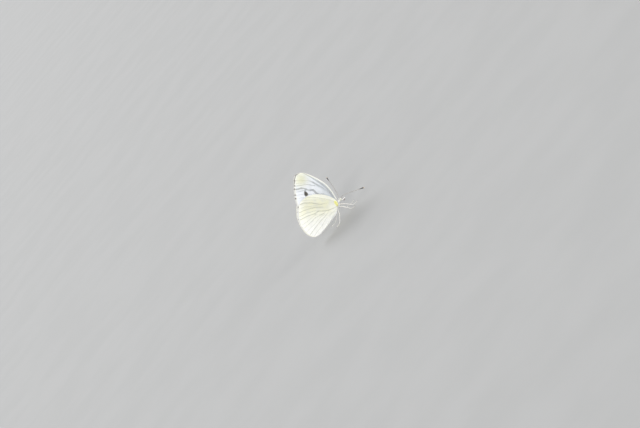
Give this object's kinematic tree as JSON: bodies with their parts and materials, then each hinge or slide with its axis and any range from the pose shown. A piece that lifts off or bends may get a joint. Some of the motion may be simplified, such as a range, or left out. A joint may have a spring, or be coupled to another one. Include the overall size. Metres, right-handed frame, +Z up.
{
  "type": "white butterfly",
  "caption": "Large white butterfly standing on its feet with its wings closed upright over its back, antennae spread and tongue coiled under the face.",
  "frame": {"origin": "on the floor under the middle of the whole, level with the feet", "axes": "the head looks towards -Y, +Z is up, the butterfly's left side is towards +X"},
  "size_m": [0.0156, 0.0398, 0.0351],
  "materials": {
    "forewing": "matt scaled membrane, cool white with a cream tip and one dark spot",
    "hindwing": "matt scaled membrane, warm cream white with faint grey lines along and between the veins and a yellow root",
    "coat": "dense soft hair and scales, white below and grey above",
    "eye": "glossy facets, pale green-grey with a few soft dark specks",
    "antenna": "satin, ringed dark brown and white, with a dark club and a pale tip",
    "leg": "satin, white scales",
    "tongue": "satin dark brown, finely ringed"
  },
  "bodies": {
    "root": {"thorax": "coat", "head": "coat", "abdomen": "coat", "proboscis": "tongue", "forewing_left": "forewing", "hindwing_left": "hindwing", "eye_left": "eye", "antenna_left": "antenna", "palp_left": "coat", "leg_front_left": "leg", "leg_middle_left": "leg", "leg_hind_left": "leg", "forewing_right": "forewing", "hindwing_right": "hindwing", "eye_right": "eye", "antenna_right": "antenna", "palp_right": "coat", "leg_front_right": "leg", "leg_middle_right": "leg", "leg_hind_right": "leg"}
  },
  "joints": []
}
